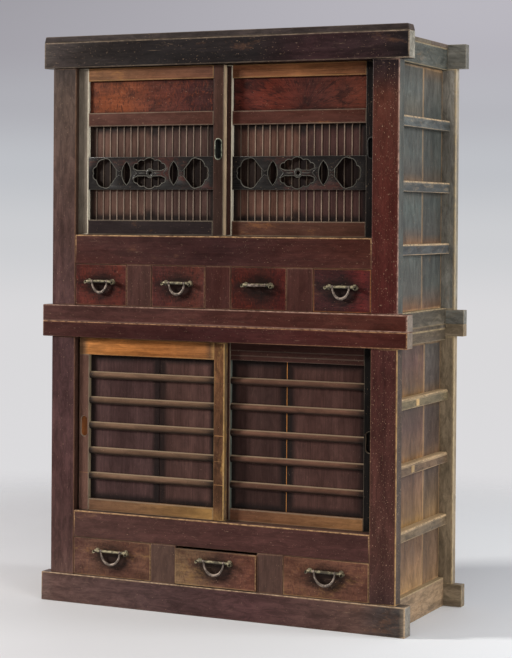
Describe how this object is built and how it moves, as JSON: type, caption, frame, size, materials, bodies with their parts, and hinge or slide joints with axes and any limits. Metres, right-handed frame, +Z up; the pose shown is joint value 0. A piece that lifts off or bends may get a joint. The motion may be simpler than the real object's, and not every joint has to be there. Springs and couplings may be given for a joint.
{
  "type": "sliding-door kitchen cabinet",
  "caption": "Tall kitchen cabinet in two stacked sections, with sliding slatted and barred doors, drawers with swinging bails, overhanging rails and battened sides.",
  "frame": {"origin": "on the floor, midway across the width and midway between the back and the tip of the bail that is stored swung out", "axes": "+X to the viewer's right along the front, +Y from the front to the back, +Z up"},
  "size_m": [1.212, 0.5616, 1.7545],
  "materials": {
    "frame_lacquer": "dark red-brown lacquer, half gloss, rubbed pale on the arrises",
    "worn_frame_wood": "dull brown-grey lacquer, dusty and worn",
    "side_board_wood": "thin worn lacquer over ochre-brown boards, grey with dust above",
    "batten_wood": "worn grey-brown battens with pale rubbed edges",
    "plain_wood": "bare brown softwood, darkened with age",
    "door_frame_wood": "lacquered door wood, rubbed through to orange and tan",
    "burl_and_backing_wood": "figured red-orange burl and dark brown backing boards",
    "backing_wood": "dark purple-brown boards",
    "slat_wood": "thin brown slats with pale arrises",
    "carved_wood": "near-black carved board, half gloss",
    "bar_wood": "rounded bars, light tan above and red-brown below",
    "drawer_wood": "figured red-brown drawer fronts, stained dark round the handles",
    "handle_metal": "aged green-gold iron, matt with bright rubbed spots",
    "bail_metal": "worn grey-pink iron, rubbed bright by hands",
    "pull_metal": "dark green-grey metal with a pale rim"
  },
  "bodies": {
    "carcass": {"cap_strip": "frame_lacquer", "top_rail": "frame_lacquer", "upper_posts": "frame_lacquer", "upper_sill_rail": "frame_lacquer", "upper_base_rail": "frame_lacquer", "upper_side_rails": "worn_frame_wood", "upper_side_boards": "side_board_wood", "upper_back_frame": "worn_frame_wood", "top_boards": "plain_wood", "upper_floor_boards": "plain_wood", "lower_head_rail": "frame_lacquer", "lower_posts": "frame_lacquer", "lower_sill_rail": "frame_lacquer", "base_rail": "frame_lacquer", "lower_side_rails": "worn_frame_wood", "lower_side_boards": "side_board_wood", "lower_back_frame": "worn_frame_wood", "lower_floor_boards": "plain_wood", "back_boards": "plain_wood", "side_battens": "batten_wood", "spacer_panels": "frame_lacquer", "tracks_and_runners": "plain_wood"},
    "upper_left_door": {"upper_left_door_frame": "door_frame_wood", "upper_left_door_panels": "burl_and_backing_wood", "upper_left_door_slats": "slat_wood", "upper_left_door_carving": "carved_wood", "upper_left_door_pull": "pull_metal"},
    "upper_right_door": {"upper_right_door_frame": "door_frame_wood", "upper_right_door_panels": "burl_and_backing_wood", "upper_right_door_slats": "slat_wood", "upper_right_door_carving": "carved_wood", "upper_right_door_pull": "pull_metal"},
    "lower_left_door": {"lower_left_door_frame": "door_frame_wood", "lower_left_door_panels": "backing_wood", "lower_left_door_bars": "bar_wood"},
    "lower_right_door": {"lower_right_door_frame": "door_frame_wood", "lower_right_door_panels": "backing_wood", "lower_right_door_bars": "bar_wood"},
    "upper_drawer_1_box": {"upper_drawer_1": "drawer_wood", "upper_drawer_1_handle": "handle_metal"},
    "upper_drawer_1_ring": {"upper_drawer_1_bail": "bail_metal"},
    "upper_drawer_2_box": {"upper_drawer_2": "drawer_wood", "upper_drawer_2_handle": "handle_metal"},
    "upper_drawer_2_ring": {"upper_drawer_2_bail": "bail_metal"},
    "upper_drawer_3_box": {"upper_drawer_3": "drawer_wood", "upper_drawer_3_handle": "handle_metal"},
    "upper_drawer_3_ring": {"upper_drawer_3_bail": "bail_metal"},
    "upper_drawer_4_box": {"upper_drawer_4": "drawer_wood", "upper_drawer_4_handle": "handle_metal"},
    "upper_drawer_4_ring": {"upper_drawer_4_bail": "bail_metal"},
    "lower_drawer_1_box": {"lower_drawer_1": "drawer_wood", "lower_drawer_1_handle": "handle_metal"},
    "lower_drawer_1_ring": {"lower_drawer_1_bail": "bail_metal"},
    "lower_drawer_2_box": {"lower_drawer_2": "drawer_wood", "lower_drawer_2_handle": "handle_metal"},
    "lower_drawer_2_ring": {"lower_drawer_2_bail": "bail_metal"},
    "lower_drawer_3_box": {"lower_drawer_3": "drawer_wood", "lower_drawer_3_handle": "handle_metal"},
    "lower_drawer_3_ring": {"lower_drawer_3_bail": "bail_metal"}
  },
  "joints": [
    {"name": "upper_left_door_slide", "type": "slide", "parent": "carcass", "child": "upper_left_door", "axis": [1, 0, 0], "range_m": [0, 0.483]},
    {"name": "upper_right_door_slide", "type": "slide", "parent": "carcass", "child": "upper_right_door", "axis": [1, 0, 0], "range_m": [-0.483, 0]},
    {"name": "lower_left_door_slide", "type": "slide", "parent": "carcass", "child": "lower_left_door", "axis": [1, 0, 0], "range_m": [-0.008, 0.475]},
    {"name": "lower_right_door_slide", "type": "slide", "parent": "carcass", "child": "lower_right_door", "axis": [1, 0, 0], "range_m": [-0.483, 0]},
    {"name": "upper_drawer_1_slide", "type": "slide", "parent": "carcass", "child": "upper_drawer_1_box", "axis": [0, -1, 0], "range_m": [0, 0.3]},
    {"name": "upper_drawer_1_bail_swing", "type": "hinge", "parent": "upper_drawer_1_box", "child": "upper_drawer_1_ring", "pos_m": [-0.40163, -0.2432, 0.9985], "axis": [-1, 0, 0], "range_deg": [-7, 110]},
    {"name": "upper_drawer_2_slide", "type": "slide", "parent": "carcass", "child": "upper_drawer_2_box", "axis": [0, -1, 0], "range_m": [0, 0.3]},
    {"name": "upper_drawer_2_bail_swing", "type": "hinge", "parent": "upper_drawer_2_box", "child": "upper_drawer_2_ring", "pos_m": [-0.13387, -0.2432, 0.9985], "axis": [-1, 0, 0], "range_deg": [-7, 110]},
    {"name": "upper_drawer_3_slide", "type": "slide", "parent": "carcass", "child": "upper_drawer_3_box", "axis": [0, -1, 0], "range_m": [0, 0.3]},
    {"name": "upper_drawer_3_bail_swing", "type": "hinge", "parent": "upper_drawer_3_box", "child": "upper_drawer_3_ring", "pos_m": [0.13387, -0.2432, 0.9985], "axis": [-1, 0, 0], "range_deg": [-97, 20]},
    {"name": "upper_drawer_4_slide", "type": "slide", "parent": "carcass", "child": "upper_drawer_4_box", "axis": [0, -1, 0], "range_m": [0, 0.3]},
    {"name": "upper_drawer_4_bail_swing", "type": "hinge", "parent": "upper_drawer_4_box", "child": "upper_drawer_4_ring", "pos_m": [0.40163, -0.2432, 0.9985], "axis": [-1, 0, 0], "range_deg": [-7, 110]},
    {"name": "lower_drawer_1_slide", "type": "slide", "parent": "carcass", "child": "lower_drawer_1_box", "axis": [0, -1, 0], "range_m": [0, 0.3]},
    {"name": "lower_drawer_1_bail_swing", "type": "hinge", "parent": "lower_drawer_1_box", "child": "lower_drawer_1_ring", "pos_m": [-0.357, -0.2432, 0.1685], "axis": [-1, 0, 0], "range_deg": [-7, 110]},
    {"name": "lower_drawer_2_slide", "type": "slide", "parent": "carcass", "child": "lower_drawer_2_box", "axis": [0, -1, 0], "range_m": [-0.006, 0.294]},
    {"name": "lower_drawer_2_bail_swing", "type": "hinge", "parent": "lower_drawer_2_box", "child": "lower_drawer_2_ring", "pos_m": [0, -0.2492, 0.1685], "axis": [-1, 0, 0], "range_deg": [-7, 110]},
    {"name": "lower_drawer_3_slide", "type": "slide", "parent": "carcass", "child": "lower_drawer_3_box", "axis": [0, -1, 0], "range_m": [0, 0.3]},
    {"name": "lower_drawer_3_bail_swing", "type": "hinge", "parent": "lower_drawer_3_box", "child": "lower_drawer_3_ring", "pos_m": [0.357, -0.2432, 0.1685], "axis": [-1, 0, 0], "range_deg": [-7, 110]}
  ]
}
